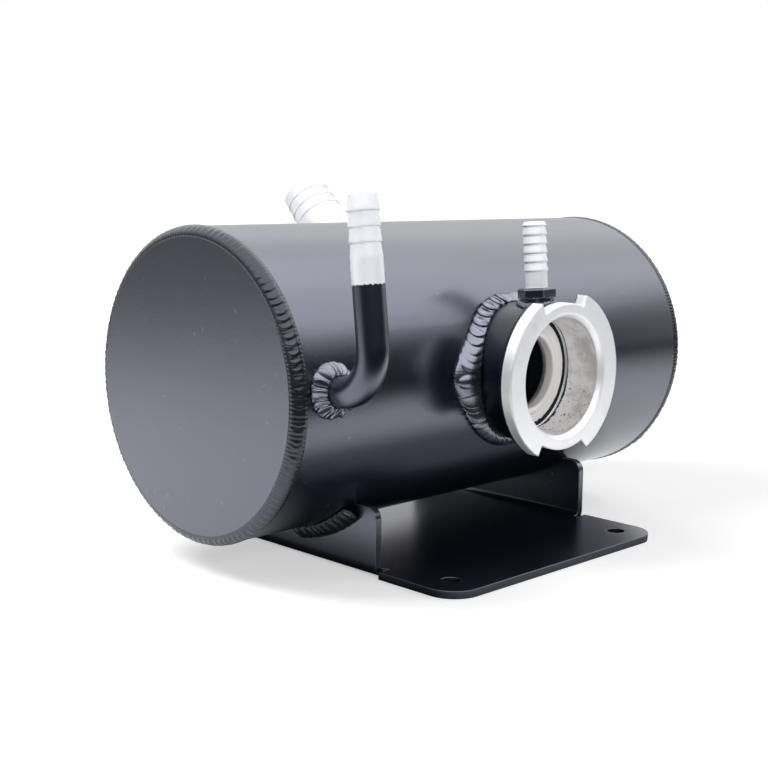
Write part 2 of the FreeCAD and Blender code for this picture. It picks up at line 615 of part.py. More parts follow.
def mounting_bracket():
    """One folded sheet: a drilled base plate with two flanges cut to the tube's round."""
    body = new_body("mounting_bracket")
    half = "Sizes.bracket_width / 2"
    fold = "(Sizes.bend_r + Sizes.sheet)"
    section = new_sketch(body, "folded_section")
    right = [(half + " - " + fold, "0"), (half, fold), (half, "Sizes.flange_height"),
             (half + " - Sizes.sheet", "Sizes.flange_height"), (half + " - Sizes.sheet", fold),
             (half + " - " + fold, "Sizes.sheet")]
    left = [("-(%s)" % x, z) for x, z in reversed(right)]
    outline(section, right + left, {0: (fold, False), 4: ("Sizes.bend_r", True),
                                    6: ("Sizes.bend_r", True), 10: (fold, False)})
    folded = pad(body, section, "Sizes.flange_depth", both_ways=True)
    doc.recompute()
    upper = []
    for number, edge in enumerate(folded.Shape.Edges, start=1):
        low, high = edge.BoundBox.ZMin, edge.BoundBox.ZMax
        end_on = abs(abs(edge.BoundBox.Center.y) - value_of("Sizes.flange_depth / 2")) < NEAR
        if end_on and low > value_of("Sizes.flange_height") - NEAR and high - low < NEAR:
            upper.append("Edge%d" % number)
    rounded = body.newObject("PartDesign::Fillet", "flange_corners")
    rounded.Base = (folded, upper)
    bind(rounded, Radius="Sizes.flange_corner_r")
    doc.recompute()
    plate = new_sketch(body, "plate_outline", "XY_Plane")
    front = "Sizes.plate_depth / 2"
    slit = "(Sizes.flange_depth / 2 + Sizes.relief_width)"
    waist = half + " - Sizes.relief_reach"
    quarter = [(waist, "-" + slit), (waist, slit), (half, slit), (half, front + " - Sizes.corner_r"),
               (half + " - Sizes.corner_r", front)]
    other = [("-(%s)" % x, "-(%s)" % y) for x, y in quarter]
    outline(plate, [quarter[1]] + quarter[2:] + [("-(%s)" % x, y) for x, y in quarter[:0:-1]]
            + [other[1]] + other[2:] + [("-(%s)" % x, y) for x, y in other[:0:-1]],
            {2: ("Sizes.corner_r", False), 4: ("Sizes.corner_r", False),
             10: ("Sizes.corner_r", False), 12: ("Sizes.corner_r", False)})
    pad(body, plate, "Sizes.sheet")
    holes = new_sketch(body, "bolt_holes", "XY_Plane")
    for across in ("", "-"):
        for along in ("", "-"):
            circle(holes, across + "Sizes.hole_spacing_x / 2", along + "Sizes.hole_spacing_y / 2",
                   "Sizes.hole_d")
    pocket = body.newObject("PartDesign::Pocket", "drilled")
    pocket.Profile = holes
    pocket.Type = "ThroughAll"
    pocket.Midplane = True
    cut_cylinder(body, "tube_saddle", "Sizes.tube_od", "Sizes.bracket_width + 2 * Sizes.tool_reach",
                 x="-(Sizes.bracket_width / 2 + Sizes.tool_reach)", z=AXIS_HEIGHT,
                 axis=Vector(0, 1, 0), angle="90")
    return place(body)


def bracket_weld(label, side, front):
    """A bead between a flange's outer face and the tube; local X runs along the tube."""
    body = new_body(label)
    profile = new_sketch(body, label + "_profile", "XY_Plane")
    reach = TUBE_R + " + Sizes.bracket_weld_leg"
    outline(profile, [
        ("0", TUBE_R),
        ("0", reach),
        ("%s * Sizes.bracket_weld_leg" % side, TUBE_R),
    ], {1: ("Sizes.bracket_weld_leg * Sizes.flank_round", side == "1")})
    feature = turn(body, profile, angle="Sizes.bracket_weld_arc", axis="H_Axis")
    feature.Midplane = True
    middle = "(Sizes.bracket_weld_start + Sizes.bracket_weld_arc / 2)"
    angle = "180 + " + middle if front else "-" + middle
    return place(body, x="%s * Sizes.bracket_width / 2" % side, z=AXIS_HEIGHT,
                 axis=Vector(1, 0, 0), angle=angle)


parts = [
    tank_tube(),
    end_plate("end_plate_left", TANK_LEFT),
    end_plate("end_plate_right", TANK_RIGHT + " - Sizes.plate_thick"),
    end_weld("end_weld_left", False),
    end_weld("end_weld_right", True),
    filler_neck(),
    neck_weld(),
    overflow_boss(),
    overflow_boss_weld(),
    overflow_barb(),
    bleed_elbow(),
    bleed_elbow_weld(),
    return_hose_tail(),
    return_tail_weld(),
    mounting_bracket(),
]
for flange, side in (("left", "-1"), ("right", "1")):
    for end in ("front", "rear"):
        parts.append(bracket_weld("bracket_weld_%s_%s" % (flange, end), side, end == "front"))
doc.recompute()

for item in doc.Objects:
    if "Invalid" in item.State or "Error" in item.State:
        raise RuntimeError("%s did not build: %s" % (item.Name, item.State))
for part in parts:
    shape = part.Shape
    if shape.isNull() or not shape.isValid() or len(shape.Solids) != 1:
        raise RuntimeError("%s has no sound solid" % part.Label)

os.makedirs("parts", exist_ok=True)
for part in parts:
    part.Shape.exportStep(os.path.join("parts", part.Label + ".step"))
    print(part.Label, round(part.Shape.Volume, 1))
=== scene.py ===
"""Looks of the coolant expansion tank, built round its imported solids."""
import logging
import math
import random
from dataclasses import dataclass, replace
from enum import Enum
from typing import Iterable, Optional, Union

import bpy
from bpy.types import ID, Material, NodeSocket, Object
from mathutils import Matrix, Vector


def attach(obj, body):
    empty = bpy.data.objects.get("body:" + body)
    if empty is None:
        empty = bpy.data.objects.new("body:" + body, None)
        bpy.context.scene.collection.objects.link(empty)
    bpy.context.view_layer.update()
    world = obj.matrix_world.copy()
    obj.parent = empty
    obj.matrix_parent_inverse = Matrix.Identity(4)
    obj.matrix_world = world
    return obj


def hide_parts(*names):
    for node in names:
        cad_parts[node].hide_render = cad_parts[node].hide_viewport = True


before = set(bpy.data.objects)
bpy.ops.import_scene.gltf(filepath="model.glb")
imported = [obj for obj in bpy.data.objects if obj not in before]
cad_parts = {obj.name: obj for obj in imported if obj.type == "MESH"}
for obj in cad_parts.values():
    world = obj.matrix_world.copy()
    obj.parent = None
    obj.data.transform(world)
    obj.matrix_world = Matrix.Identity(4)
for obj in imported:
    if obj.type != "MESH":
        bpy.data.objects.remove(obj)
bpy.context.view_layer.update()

MM = 0.001
BODY = "root"
COAT_COLOUR = (0.004, 0.0055, 0.011, 1.0)
COAT_IOR = 1.6
COAT_LEVEL = 1.0
COAT_TINT = (0.80, 0.84, 1.0, 1.0)
PEEL_SCALE = 750.0
# how far the normals part at an edge that is lightened partly as wear and partly as a painted highlight
EDGE_WEAR_AND_HIGHLIGHT_RANGE = (0.02, 0.15)
WHITE = (1.0, 1.0, 1.0, 1.0)
ALONG, BACKWARD = Vector((1, 0, 0)), Vector((0, 1, 0))
log = logging.getLogger("expansion_tank")


class Side(Enum):
    """Which end of the tank a piece is at."""

    LEFT = -1
    RIGHT = 1


Value = Union[float, "Signal"]


class Signal:
    """A shader value; the arithmetic operators add Math nodes."""

    def __init__(self, shader: "Shader", socket: NodeSocket) -> None:
        """Wrap a node's output socket."""
        self.shader = shader
        self.socket = socket

    def other(self, output: Union[int, str]) -> "Signal":
        """Another output of the same node."""
        return Signal(self.shader, self.socket.node.outputs[output])

    def _math(self, operation: str, first: Value, second: Value) -> "Signal":
        """Add one Math node with two values."""
        return self.shader.node("ShaderNodeMath", {"operation": operation}, {0: first, 1: second})

    def __add__(self, other: Value) -> "Signal":
        """Sum."""
        return self._math("ADD", self, other)

    __radd__ = __add__

    def __mul__(self, other: Value) -> "Signal":
        """Product."""
        return self._math("MULTIPLY", self, other)

    __rmul__ = __mul__

    def __sub__(self, other: Value) -> "Signal":
        """Difference."""
        return self._math("SUBTRACT", self, other)

    def __rsub__(self, other: Value) -> "Signal":
        """Difference from a number."""
        return self._math("SUBTRACT", other, self)

    def above(self, edge: Value) -> "Signal":
        """1 where the value is above an edge."""
        return self._math("GREATER_THAN", self, edge)

    def at_most(self, top: Value) -> "Signal":
        """The lower of two values."""
        return self._math("MINIMUM", self, top)

    def at_least(self, low: Value) -> "Signal":
        """The higher of two values."""
        return self._math("MAXIMUM", self, low)

    def size(self) -> "Signal":
        """The value without its sign."""
        return self._math("ABSOLUTE", self, 0.0)

    def with_leg(self, other: "Signal") -> "Signal":
        """The long side of a right triangle that has the two values as its legs."""
        return self._math("POWER", self * self + other * other, 0.5)


class Shader:
    """The nodes of a material, added one by one."""

    def __init__(self, name: str) -> None:
        """Start with no nodes.

        Args:
            name: The material's name.
        """
        self.owner = self.new_owner(name)
        self.owner.use_nodes = True
        self.tree = self.owner.node_tree
        self.tree.nodes.clear()

    @staticmethod
    def new_owner(name: str) -> ID:
        """What the nodes belong to."""
        return bpy.data.materials.new(name)

    def node(self, kind: str, settings: Optional[dict] = None, inputs: Optional[dict] = None,
             out: Union[int, str] = 0) -> Signal:
        """Add any node.

        Args:
            kind: The node's type.
            settings: Its properties, set before its sockets.
            inputs: Values or signals of its sockets, by name or number.
            out: The output to return.

        Returns:
            The chosen output.
        """
        made = self.tree.nodes.new(kind)
        for name, value in (settings or {}).items():
            setattr(made, name, value)
        for name, value in (inputs or {}).items():
            if isinstance(value, Signal):
                self.tree.links.new(value.socket, made.inputs[name])
            else:
                made.inputs[name].default_value = value
        return Signal(self, made.outputs[out] if made.outputs else None)

    def place(self, centre: tuple = (0.0, 0.0, 0.0), turn: tuple = (0.0, 0.0, 0.0)) -> Signal:
        """Object coordinates, centred and then turned.

        Args:
            centre: Point of the object that goes to the middle of the pattern.
            turn: Rotation in radians.

        Returns:
            The vector.
        """
        spot = self.node("ShaderNodeTexCoord", out="Object")
        moved = self.node("ShaderNodeMapping", None, {"Vector": spot, "Location": tuple(-c for c in centre)})
        return self.node("ShaderNodeMapping", None, {"Vector": moved, "Rotation": turn})

    def noise(self, where: Signal, scale: float, detail: float, rough: float = 0.5) -> Signal:
        """Noise from 0 to 1 at a scale per metre."""
        return self.node("ShaderNodeTexNoise", None,
                         {"Vector": where, "Scale": scale, "Detail": detail, "Roughness": rough})

    def peel(self, where: Signal) -> Signal:
        """The powder coat's fine orange peel, from 0 to 1."""
        return self.noise(where, PEEL_SCALE, 3.0, 0.65)

    def ramp(self, value: Value, low: float, high: float) -> Signal:
        """A smooth step from 0 at low to 1 at high."""
        return self.node("ShaderNodeMapRange", {"interpolation_type": "SMOOTHSTEP"},
                         {0: value, 1: low, 2: high})

    def blend(self, share: Value, first: Union[tuple, Signal], second: Union[tuple, Signal]) -> Signal:
        """Mix two colours by a share."""
        return self.node("ShaderNodeMix", {"data_type": "RGBA"}, {0: share, 6: first, 7: second}, out=2)

    def bump(self, height: Signal, depth: float, strength: float, below: Optional[Signal] = None) -> Signal:
        """A bumped normal.

        Args:
            height: The height from 0 to 1.
            depth: What 1 stands for, in metres.
            strength: Share of the bump.
            below: Another normal to add it to.

        Returns:
            The normal.
        """
        inputs = {"Height": height, "Distance": depth, "Strength": strength}
        if below is not None:
            inputs["Normal"] = below
        return self.node("ShaderNodeBump", None, inputs)

    def rounded(self, radius: float) -> Signal:
        """The normal with sharp edges rounded to a radius."""
        return self.node("ShaderNodeBevel", {"samples": 6}, {"Radius": radius})

    def edge_wear_and_highlight(self, soft: Signal) -> Signal:
        """Where a sharp edge is, which the coats lighten partly as wear and partly as a painted highlight.

        Args:
            soft: The normal with its sharp edges rounded.

        Returns:
            1 along the edges, where the rounded and the true normal differ, and 0 elsewhere.
        """
        flat = self.node("ShaderNodeNewGeometry", out="Normal")
        apart = 1.0 - self.dot(soft, flat)
        return self.ramp(apart, *EDGE_WEAR_AND_HIGHLIGHT_RANGE)

    def dot(self, first: Union[Vector, Signal], second: Union[Vector, Signal]) -> Signal:
        """The dot product of two vectors."""
        return self.node("ShaderNodeVectorMath", {"operation": "DOT_PRODUCT"}, {0: first, 1: second},
                         out="Value")

    def parts(self, where: Signal) -> tuple:
        """The x, y and z of a vector as three signals."""
        split = self.node("ShaderNodeSeparateXYZ", None, {0: where})
        return split, split.other(1), split.other(2)

    def rays(self) -> tuple:
        """How a ray comes to be cast.

        Returns:
            A signal that is 1 for rays from the camera, and one that is 1 for mirrored rays and
            those through glass.
        """
        seen = self.node("ShaderNodeLightPath", out="Is Camera Ray")
        mirrored = seen.other("Is Glossy Ray") + seen.other("Is Transmission Ray")
        return seen, mirrored.at_most(1.0)

    def finish(self, level: float = COAT_LEVEL, ior: float = COAT_IOR,
               **inputs: Union[Value, tuple]) -> Material:
        """Close the material with a Principled shader that shines as the coat does.

        Args:
            level: Strength of the reflections.
            ior: The coat's refractive index.
            **inputs: The other sockets, with an underscore for each space.

        Returns:
            The material.
        """
        named = {name.replace("_", " "): value for name, value in inputs.items()}
        named.update({"IOR": ior, "Specular IOR Level": level, "Specular Tint": COAT_TINT})
        surface = self.node("ShaderNodeBsdfPrincipled", None, named)
        self.node("ShaderNodeOutputMaterial", None, {"Surface": surface})
        return self.owner


class RoomShader(Shader):
    """The nodes of the world."""

    @staticmethod
    def new_owner(name: str) -> ID:
        """The world that the nodes belong to."""
        return bpy.data.worlds.new(name)

    def toward(self, way: tuple, low: float, high: float) -> Signal:
        """A smooth step by how closely a ray follows a direction.

        Args:
            way: The direction.
            low: Cosine at which the step is 0.
            high: Cosine at which it is 1.

        Returns:
            The step.
        """
        ray = self.node("ShaderNodeTexCoord", out="Generated")
        return self.ramp(self.dot(ray, Vector(way).normalized()), low, high)


@dataclass(frozen=True)
class PowderCoat:
    """Satin black powder coat with a fine orange peel, edges lightened partly as wear and partly as a
    painted highlight, and a little dust.
    """

    name: str = "powder_coat"
    colour: tuple = COAT_COLOUR
    paler_coat: tuple = (0.05, 0.052, 0.058, 1.0)
    roughness: float = 0.19
    unevenness: float = 0.05
    cloud_scale: float = 28.0
    cloud_share: float = 0.03
    speck_scale: float = 420.0
    speck_range: tuple = (0.825, 0.85)
    speck_share: float = 0.9
    dust_scale: float = 2600.0
    dust_range: tuple = (0.72, 0.82)
    dust_share: float = 0.2
    peel_depth: float = 0.05 * MM
    peel_strength: float = 0.45
    edge: float = 0.5 * MM
    bare_within: float = 0.0
    axis_z: float = 0.0
    bare: tuple = (0.80, 0.81, 0.84, 1.0)
    bare_metallic: float = 0.2
    bare_roughness: float = 0.3

    def material(self) -> Material:
        """Build the finish.

        Returns:
            The material, bare metal within a radius of the tank's axis.
        """
        shader = Shader(self.name)
        where = shader.place()
        cloud = shader.noise(where, self.cloud_scale, 3.0)
        peel = shader.peel(where)
        specks = shader.ramp(shader.noise(where, self.speck_scale, 0.0), *self.speck_range)
        dust = shader.ramp(shader.noise(where, self.dust_scale, 1.0), *self.dust_range)
        soft = shader.rounded(self.edge)
        pale = specks * self.speck_share + dust * self.dust_share + cloud * self.cloud_share
        # dust, specks and tone lighten the coat, and sharp edges lighten it partly as wear and partly as a
        # painted highlight
        coat = shader.blend(pale + shader.edge_wear_and_highlight(soft), self.colour, self.paler_coat)
        _, y, z = shader.parts(where)
        inside = (self.bare_within - y.with_leg(z - self.axis_z)).above(0.0)
        rough = self.roughness + cloud * self.unevenness + peel * self.unevenness
        return shader.finish(
            Base_Color=shader.blend(inside, coat, self.bare),
            Metallic=inside * self.bare_metallic,
            Roughness=rough + inside * self.bare_roughness,
            Normal=shader.bump(peel, self.peel_depth, self.peel_strength, soft),
        )


@dataclass(frozen=True)
class Spot:
    """A point of a turned piece as its material sees it, with the piece's axis as Z."""

    where: Signal
    y: Signal
    z: Signal
    radius: Signal


@dataclass(frozen=True)
class Metal:
    """What varies over a piece's bare metal."""

    colour: Signal
    rough: Signal
    relief: Signal
    shine: Value


@dataclass(frozen=True)
class TurnedAluminium:
    """Bright turned aluminium, coated up to a ragged line along its axis.

    The coat covers what is below that line and outside the coated radius.
    """

    name: str
    centre: tuple
    lean: float
    coat_to: float = 0.0
    coat_outside: float = 0.0
    ragged: float = 0.0
    ragged_scale: float = 900.0
    colour: tuple = (0.87, 0.88, 0.92, 1.0)
    stain_and_edge_highlight: tuple = (0.66, 0.665, 0.69, 1.0)
    stain_scale: float = 110.0
    stain_range: tuple = (0.48, 0.75)
    stain_share: float = 0.4
    stain_roughness: float = 0.1
    roughness: float = 0.36
    metallic: float = 0.55
    ring_scale: float = 2400.0
    ring_wander: float = 0.6
    ring_height: float = 0.012
    coat_roughness: float = 0.28
    peel_height: float = 0.03
    relief_depth: float = 1.0 * MM
    relief_strength: float = 0.6
    edge: float = 0.5 * MM
    edge_wear_and_highlight_share: float = 0.0
    level: float = COAT_LEVEL

    def material(self) -> Material:
        """Build the finish.

        Returns:
            The material.
        """
        shader = Shader(self.name)
        where = shader.place(self.centre, (math.radians(self.lean), 0.0, 0.0))
        x, y, z = shader.parts(where)
        spot = Spot(where, y, z, x.with_leg(y))
        coated = self.coated(shader, spot)
        metal = self.metal(shader, spot)
        soft = shader.rounded(self.edge)
        # sharp edges of the coat lighten partly as wear and partly as a painted highlight
        coat = shader.blend(shader.edge_wear_and_highlight(soft) * self.edge_wear_and_highlight_share, COAT_COLOUR, self.stain_and_edge_highlight)
        relief = metal.relief * (1.0 - coated) + shader.peel(where) * self.peel_height * coated
        return shader.finish(
            self.level,
            Base_Color=shader.blend(coated, metal.colour, coat),
            Metallic=(1.0 - coated) * metal.shine,
            Roughness=metal.rough * (1.0 - coated) + coated * self.coat_roughness,
            Normal=shader.bump(relief, self.relief_depth, self.relief_strength, soft),
        )

    def coated(self, shader: Shader, spot: Spot) -> Signal:
        """1 where the coat is."""
        wander = (shader.noise(spot.where, self.ragged_scale, 3.0, 0.7) - 0.5) * self.ragged
        return (self.coat_to - spot.z + wander).above(0.0) * spot.radius.above(self.coat_outside)

    def metal(self, shader: Shader, spot: Spot) -> Metal:
        """Bare metal with fine turning rings and faint stains.

        Args:
            shader: The material.
            spot: The point.

        Returns:
            What varies over it.
        """
        rings = shader.node("ShaderNodeTexWave", {"wave_type": "RINGS", "rings_direction": "Z"},
                            {"Vector": spot.where, "Scale": self.ring_scale, "Distortion": self.ring_wander,
                             "Detail": 2.0, "Detail Scale": 2.0}, out=1)
        stain = shader.noise(spot.where, self.stain_scale, 4.0, 0.6)
        share = shader.ramp(stain, *self.stain_range) * self.stain_share
        return Metal(shader.blend(share, self.colour, self.stain_and_edge_highlight),
                     stain * self.stain_roughness + self.roughness,
                     rings * self.ring_height, self.metallic)


@dataclass(frozen=True)
class NeckMetal(TurnedAluminium):
    """The neck's metal: bright at the mouth, stained in the bore, with painted shade at the brink of the
    lead-in, and black painted shade in the undercut.

    Its local y points up, so that the low side of the bore can be dirtier and the painted shade in its
    undercut wider.
    """

    bore: tuple = (0.90, 0.895, 0.89, 1.0)
    # colour of the bore's stains and groove marks, and of the painted shade at the brink of the lead-in
    stain_and_brink_shade: tuple = (0.62, 0.60, 0.58, 1.0)
    seat: tuple = (0.88, 0.86, 0.84, 1.0)
    # black of the pits, and of the painted shade in the undercut
    pit_and_shade_black: tuple = (0.012, 0.011, 0.011, 1.0)
    low_range: tuple = (-2.0 * MM, 15.0 * MM)
    bore_radius: float = 19.7 * MM
    bore_roughness: float = 0.16
    bore_shine: float = -0.4
    lead_in: float = 68.3 * MM
    brink: float = 1.1 * MM
    brink_share: float = 0.75
    cloud_scale: float = 130.0
    cloud_range: tuple = (0.42, 0.7)
    pit_scale: float = 900.0
    pit_range: tuple = (0.595, 0.66)
    pits_low: float = 0.85
    pits_all_over: float = 0.08
    seat_at: float = 55.15 * MM
    groove_scale: float = 3200.0
    groove_range: tuple = (0.45, 0.7)
    groove_share: float = 0.55
    groove_height: float = 0.06
    undercut_top: float = 56.05 * MM
    undercut_radius: float = 18.2 * MM
    undercut_shade_scale: float = 700.0
    undercut_shade_wander_low: float = 2.6 * MM
    undercut_shade_wander: float = 0.5 * MM
    undercut_shade_rise_low: float = 0.5 * MM

    def metal(self, shader: Shader, spot: Spot) -> Metal:
        """Bare metal by its place in the neck.

        Args:
            shader: The material.
            spot: The point.

        Returns:
            What varies over it.
        """
        outer = super().metal(shader, spot)
        inside = (self.bore_radius - spot.radius).above(0.0) * (self.lead_in - spot.z).above(0.0)
        low = shader.ramp(spot.y * -1.0, *self.low_range)
        across = shader.node("ShaderNodeCombineXYZ", None, {"X": spot.radius})
        groove = shader.noise(across, self.groove_scale, 2.0)
        grooved = shader.ramp(groove, *self.groove_range) * self.groove_share
        ring = shader.blend(grooved, self.seat, self.stain_and_brink_shade)
        on_seat = (self.seat_at - spot.z).above(0.0)
        within = shader.blend(on_seat, self.wall(shader, spot, low), ring)
        # painted shade: the undercut turns black as if in shadow, spreading wider on the low side
        within = shader.blend(self.painted_undercut_shade(shader, spot, low), within, self.pit_and_shade_black)
        return Metal(shader.blend(inside, outer.colour, within),
                     outer.rough + inside * self.bore_roughness,
                     outer.relief + inside * groove * on_seat * self.groove_height,
                     inside * self.bore_shine + outer.shine)

    def wall(self, shader: Shader, spot: Spot, low: Signal) -> Signal:
        """The colour of the bore's wall.

        Args:
            shader: The material.
            spot: The point.
            low: 1 on the low side.

        Returns:
            Stained metal with black pits, darker at the brink of the lead-in as painted shade.
        """
        cloud = shader.noise(spot.where, self.cloud_scale, 5.0, 0.65)
        metal = shader.blend(shader.ramp(cloud, *self.cloud_range), self.bore, self.stain_and_brink_shade)
        pits = shader.ramp(shader.noise(spot.where, self.pit_scale, 3.0, 0.7), *self.pit_range)
        pitted = shader.blend(pits * (low * self.pits_low + self.pits_all_over), metal, self.pit_and_shade_black)
        # painted shade: a darker band along the brink of the lead-in
        brink = shader.ramp(spot.z, self.lead_in - self.brink, self.lead_in) * self.brink_share
        return shader.blend(brink, pitted, self.stain_and_brink_shade)

    def painted_undercut_shade(self, shader: Shader, spot: Spot, low: Signal) -> Signal:
        """Where the undercut is blackened as painted shade.

        Args:
            shader: The material.
            spot: The point.
            low: 1 on the low side.

        Returns:
            1 where it is, with a ragged edge that spreads on the low side.
        """
        ragged = shader.noise(spot.where, self.undercut_shade_scale, 3.0, 0.7) - 0.5
        spread = ragged * (low * self.undercut_shade_wander_low + self.undercut_shade_wander) + low * self.undercut_shade_rise_low
        deep = (self.undercut_top - spot.z + spread).above(0.0)
        return deep * (spot.radius + spread * 0.5).above(self.undercut_radius)


@dataclass(frozen=True)
class BeadCoat:
    """The same coat over weld metal."""

    name: str = "bead_coat"
    colour: tuple = (0.010, 0.0115, 0.016, 1.0)
    paler_coat: tuple = (0.06, 0.062, 0.07, 1.0)
    roughness: float = 0.22
    cloud_scale: float = 120.0
    cloud_share: float = 0.2
    cloud_roughness: float = 0.1
    grain_scale: float = 1300.0
    grain_depth: float = 0.05 * MM
    grain_strength: float = 0.3
    level: float = COAT_LEVEL
    ior: float = COAT_IOR

    def material(self) -> Material:
        """Build the finish.

        Returns:
            The material.
        """
        shader = Shader(self.name)
        where = shader.place()
        grain = shader.noise(where, self.grain_scale, 3.0, 0.6)
        cloud = shader.noise(where, self.cloud_scale, 2.0)
        return shader.finish(
            self.level,
            self.ior,
            Base_Color=shader.blend(cloud * self.cloud_share, self.colour, self.paler_coat),
            Roughness=self.roughness + cloud * self.cloud_roughness,
            Normal=shader.bump(grain, self.grain_depth, self.grain_strength),
        )


class Coats:
    """The coats that several pieces share."""

    def __init__(self) -> None:
        """Build them."""
        self.plain = PowderCoat().material()
        self.bead = BeadCoat().material()
        # a lit copy of the bead coat: its stronger reflections stand in for light on the neck and elbow
        # beads
        self.lit_bead = BeadCoat("lit_bead_coat", ior=1.9).material()
        # a shaded copy of the bead coat: darker and duller, standing in for shade on the end and bracket
        # beads
        self.shaded_bead = BeadCoat("shaded_bead_coat", colour=(0.004, 0.005, 0.008, 1.0), level=0.5).material()


def deselect() -> None:
    """Deselect every object."""
    bpy.ops.object.select_all(action="DESELECT")


def pick(*items: Object) -> None:
    """Select only these objects.

    Args:
        *items: The objects. The first becomes the active one.
    """
    deselect()
    for item in items:
        item.select_set(True)
    bpy.context.view_layer.objects.active = items[0]


def dress(nodes: Iterable[str], finish: Material) -> None:
    """Give solids that stay a finish.

    Args:
        nodes: Their names.
        finish: The finish.
    """
    for name in nodes:
        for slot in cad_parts[name].material_slots:
            slot.material = finish
        log.info("%s: %s", name, finish.name)


def skin(piece: Object, voxel: float) -> None:
    """Fuse a piece's shells into one skin and smooth it.

    Args:
        piece: The piece.
        voxel: Size of the skin's cells, in metres.
    """
    pick(piece)
    fuse = piece.modifiers.new("fuse", "REMESH")
    fuse.mode = "VOXEL"
    fuse.voxel_size = voxel
    bpy.ops.object.modifier_apply(modifier=fuse.name)
    soften = piece.modifiers.new("soften", "SMOOTH")
    soften.factor = 0.5
    soften.iterations = 1
    bpy.ops.object.modifier_apply(modifier=soften.name)
    bpy.ops.object.shade_smooth()


@dataclass(frozen=True)
class Form:
    """A ripple's form.

    Its rise is above the line from toe to toe, and its spread a share of that line. Thick is half
    of its thickness. It leans along the travel by an angle in radians.
    """

    rise: float
    thick: float
    lean: float = 0.0
    spread: float = 1.0


@dataclass
class Ripple:
    """One ripple of a bead: where it is and how large."""

    middle: Vector
    travel: Vector
    across: Vector
    out: Vector
    half_width: float
    height: float
    thick: float
    lean: float

    def matrix(self) -> Matrix:
        """The place of the unit ripple.

        Returns:
            The matrix that makes a unit sphere thin, wide and tall, and leans it along the travel.
        """
        tall = self.travel * math.sin(self.lean) + self.out * math.cos(self.lean)
        thin = self.travel * math.cos(self.lean) - self.out * math.sin(self.lean)
        columns = (thin * self.thick, self.across * self.half_width, tall * self.height)
        return Matrix.Translation(self.middle) @ Matrix(columns).transposed().to_4x4()


@dataclass
class Bead:
    """A weld bead made of ripples on a smooth core."""

    node: str
    ripples: list
    core: list
    voxel: float = 0.3 * MM
    seed_size: float = 0.1 * MM

    def build(self, finish: Material) -> Object:
        """Build the bead and put it in place of its solid.

        The first sphere shrinks to a seed inside the core, to which the ripples are joined.

        Args:
            finish: Its material.

        Returns:
            The bead.
        """
        deselect()
        bpy.ops.mesh.primitive_uv_sphere_add(segments=24, ring_count=16, radius=1.0, location=(0, 0, 0))
        piece = bpy.context.active_object
        copies = [self.copy_of(piece, ripple) for ripple in self.core + self.ripples]
        pick(piece)
        bpy.ops.transform.resize(value=(self.seed_size,) * 3)
        piece.location = self.core[0].middle
        bpy.ops.object.transform_apply(location=True, rotation=True, scale=True)
        pick(piece, *copies)
        bpy.ops.object.join()
        piece.name = self.node + "_rippled"
        piece.data.materials.clear()
        skin(piece, self.voxel)
        piece.data.materials.append(finish)
        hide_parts(self.node)
        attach(piece, BODY)
        log.info("%s: %d ripples, %d faces", piece.name, len(self.ripples), len(piece.data.polygons))
        return piece

    @staticmethod
    def copy_of(unit: Object, ripple: Ripple) -> Object:
        """A copy of the unit sphere in a ripple's place.

        Args:
            unit: The sphere.
            ripple: The ripple.

        Returns:
            The copy, with its own mesh.
        """
        copy = bpy.data.objects.new("ripple", unit.data.copy())
        copy.matrix_world = ripple.matrix()
        bpy.context.scene.collection.objects.link(copy)
        return copy


def fillet_ripple(corner: Vector, first: Vector, second: Vector, travel: Vector, form: Form) -> Ripple:
    """A ripple of a fillet bead.

    Args:
        corner: Where the two surfaces meet.
        first: From the corner to the bead's toe on one surface.
        second: From the corner to its toe on the other.
        travel: The direction in which the bead was laid.
        form: The ripple's form.

    Returns:
        The ripple.
    """
    across = first - second
    middle = corner + (first + second) * 0.5
    half = across.length * 0.5 * form.spread
    across.normalize()
    along = (travel - across * travel.dot(across)).normalized()
    out = along.cross(across)
    if out.dot(first + second) < 0:
        out = -out
        across = -across
    return Ripple(middle, along, across, out, half, form.rise / math.cos(form.lean), form.thick, form.lean)


def turns(count: int) -> list:
    """The angles of a full turn in even steps, in radians."""
    return [math.tau * number / count for number in range(count)]


def leaning_back(angle: float) -> Vector:
    """Upwards, leaned back by an angle in degrees."""
    return Vector((0.0, math.sin(math.radians(angle)), math.cos(math.radians(angle))))


@dataclass
class Hull:
    """A cylinder that a pipe stands on."""

    axis: Vector
    middle: Vector
    radius: float

    def reached(self, spot: Vector, way: Vector) -> Vector:
        """Where a line from inside comes out.

        Args:
            spot: A point of the line.
            way: Its direction.

        Returns:
            The point of the cylinder's surface.
        """
        offset = spot - self.middle
        flat = offset - self.axis * offset.dot(self.axis)
        line = way - self.axis * way.dot(self.axis)
        a = line.dot(line)
        b = 2.0 * flat.dot(line)
        c = flat.dot(flat) - self.radius ** 2
        root = math.sqrt(max(b * b - 4.0 * a * c, 0.0))
        return spot + way * ((-b + root) / (2.0 * a))


